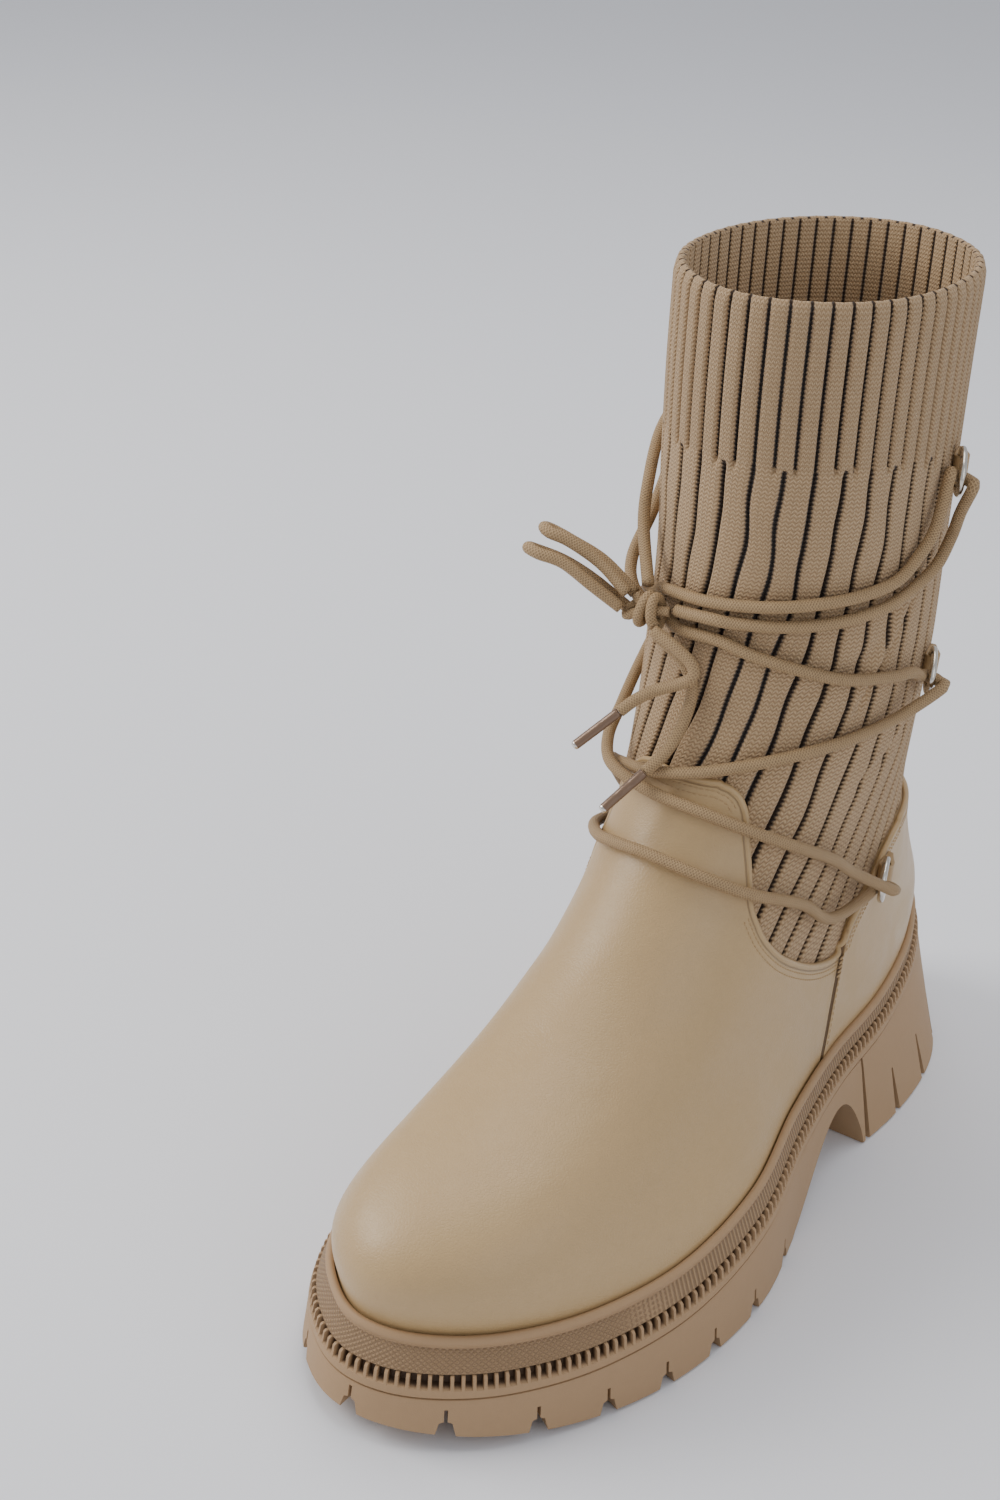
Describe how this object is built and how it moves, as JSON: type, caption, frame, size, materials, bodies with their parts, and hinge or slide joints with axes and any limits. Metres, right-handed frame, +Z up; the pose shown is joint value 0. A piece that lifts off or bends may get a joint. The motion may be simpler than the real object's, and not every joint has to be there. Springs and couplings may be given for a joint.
{
  "type": "ankle boot",
  "caption": "Tan ankle boot with a leather vamp and counter, a ribbed knit shaft, criss-cross lacing through D-rings and a thick lugged rubber sole.",
  "frame": {"origin": "middle of the boot's footprint, on the floor", "axes": "+X to the boot's outer side, +Y from the toe to the heel, +Z up"},
  "size_m": [0.1017, 0.272, 0.2501],
  "materials": {
    "tan_leather": "semi-matt",
    "tan_knit": "matt",
    "tan_rubber": "matt",
    "tan_board": "matt",
    "tan_lace": "matt",
    "ring_steel": "polished",
    "aglet_brown": "glossy"
  },
  "bodies": {
    "root": {"aglet_long": "aglet_brown", "aglet_short": "aglet_brown", "end_long": "tan_lace", "end_short": "tan_lace", "insole": "tan_board", "knot": "tan_lace", "lace": "tan_lace", "loop_high": "tan_lace", "loop_low": "tan_lace", "midsole": "tan_rubber", "outsole": "tan_rubber", "ring_inner_low": "ring_steel", "ring_inner_mid": "ring_steel", "ring_inner_top": "ring_steel", "ring_outer_low": "ring_steel", "ring_outer_mid": "ring_steel", "ring_outer_top": "ring_steel", "shaft": "tan_knit", "tab_inner_low": "tan_leather", "tab_inner_mid": "tan_leather", "tab_inner_top": "tan_leather", "tab_outer_low": "tan_leather", "tab_outer_mid": "tan_leather", "tab_outer_top": "tan_leather", "upper": "tan_leather", "welt": "tan_rubber"}
  },
  "joints": []
}
